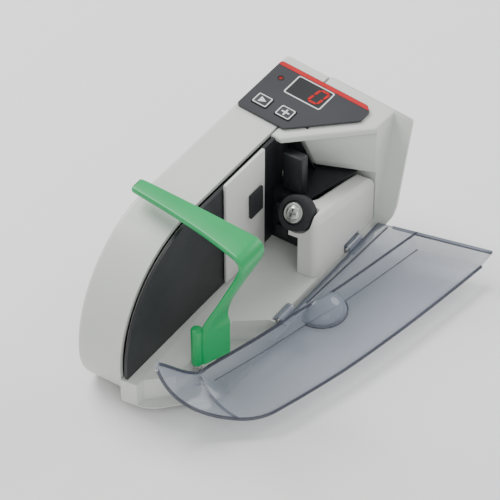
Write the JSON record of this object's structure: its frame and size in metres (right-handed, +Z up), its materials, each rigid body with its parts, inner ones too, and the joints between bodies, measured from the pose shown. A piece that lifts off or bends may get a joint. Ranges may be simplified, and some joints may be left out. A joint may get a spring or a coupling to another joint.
{
  "type": "banknote counting machine",
  "caption": "Portable banknote counter with a note channel, a flick roller beside the head, a clamp lever, a tilted control panel and a hinged clear cover shown open as a tray.",
  "frame": {"origin": "middle of the footprint's box, with the cover open, on the surface the machine stands on", "axes": "+Z up, +Y along the note channel towards the head with the control panel, +X towards the open cover"},
  "size_m": [0.1234, 0.179, 0.0913],
  "materials": {
    "shell_plastic": "fine satin moulded ABS",
    "housing_plastic": "satin moulded ABS",
    "black_plastic": "satin black",
    "rubber": "matt rubber",
    "panel_plastic": "printed polycarbonate film over ABS",
    "window_plastic": "smoked glossy window",
    "lever_plastic": "semi-gloss green",
    "cover_plastic": "clear smoked polycarbonate",
    "steel": "bright",
    "brass": "bright",
    "circuit_board": "green solder mask",
    "led_plastic": "red lens"
  },
  "bodies": {
    "body": {"add_button_switch": "black_plastic", "battery_spring_1": "steel", "battery_spring_2": "steel", "battery_spring_3": "steel", "battery_spring_4": "steel", "battery_tray": "black_plastic", "channel_liner": "black_plastic", "control_panel": "panel_plastic", "dc_jack": "black_plastic", "display_board": "circuit_board", "display_module": "window_plastic", "display_window": "window_plastic", "drive_belt": "rubber", "foot_1": "rubber", "foot_2": "rubber", "foot_3": "rubber", "foot_4": "rubber", "friction_pad": "rubber", "front_bearing": "brass", "front_shell": "shell_plastic", "guide_bracket": "black_plastic", "hinge_pin_1": "steel", "hinge_pin_2": "steel", "lever_pin": "steel", "lever_spring": "steel", "low_battery_led": "led_plastic", "main_board": "circuit_board", "motor": "steel", "motor_bracket": "black_plastic", "note_guide_plate": "housing_plastic", "positive_contact": "brass", "rear_bearing": "brass", "rear_shell": "shell_plastic", "roller_housing": "housing_plastic", "sensor_emitter": "black_plastic", "sensor_receiver": "black_plastic", "shell_screw_1": "steel", "shell_screw_2": "steel", "shell_screw_3": "steel", "shell_screw_4": "steel", "start_button_switch": "black_plastic", "switch_frame": "black_plastic", "throat_liner": "black_plastic"},
    "cover": {"cover": "cover_plastic"},
    "lever": {"clamp_lever": "lever_plastic"},
    "roller": {"flick_roller": "rubber", "roller_hub": "black_plastic", "roller_shaft": "steel", "roller_screw": "steel", "roller_pulley": "black_plastic"},
    "motor_shaft": {"motor_pulley": "brass"},
    "start_button": {"start_button": "panel_plastic"},
    "add_button": {"add_button": "panel_plastic"},
    "power_switch": {"power_switch": "black_plastic"},
    "battery_door": {"battery_door": "shell_plastic"}
  },
  "joints": [
    {"name": "cover_hinge", "type": "hinge", "parent": "body", "child": "cover", "pos_m": [0.00218, 0.02116, 0.018], "axis": [0, -1, 0], "range_deg": [0, 90]},
    {"name": "lever_swing", "type": "hinge", "parent": "body", "child": "lever", "pos_m": [-0.01252, -0.05714, 0.028], "axis": [0, 0, 1], "range_deg": [-80, 0], "stiffness_Nm_per_rad": 0.02, "springref_deg": 22.92},
    {"name": "roller_spin", "type": "hinge", "parent": "body", "child": "roller", "pos_m": [-0.01082, 0.02296, 0.0525], "axis": [0, 0.7901, -0.613], "continuous": true},
    {"name": "motor_spin", "type": "hinge", "parent": "body", "child": "motor_shaft", "pos_m": [-0.02432, 0.02296, 0.0525], "axis": [0, 0.7901, -0.613], "continuous": true},
    {"name": "start_press", "type": "slide", "parent": "body", "child": "start_button", "axis": [-0.1044, 0, -0.9945], "range_m": [0, 0.0005], "stiffness_N_per_m": 250},
    {"name": "add_press", "type": "slide", "parent": "body", "child": "add_button", "axis": [-0.1044, 0, -0.9945], "range_m": [0, 0.0005], "stiffness_N_per_m": 250},
    {"name": "power_slide", "type": "slide", "parent": "body", "child": "power_switch", "axis": [1, 0, 0], "range_m": [0, 0.0025]},
    {"name": "battery_door_hinge", "type": "hinge", "parent": "body", "child": "battery_door", "pos_m": [-0.06077, 0.00316, 0.011], "axis": [0, -1, 0], "range_deg": [0, 100]}
  ],
  "couplings": [
    {"joint": "motor_spin", "follows": "roller_spin", "ratio": 2}
  ]
}
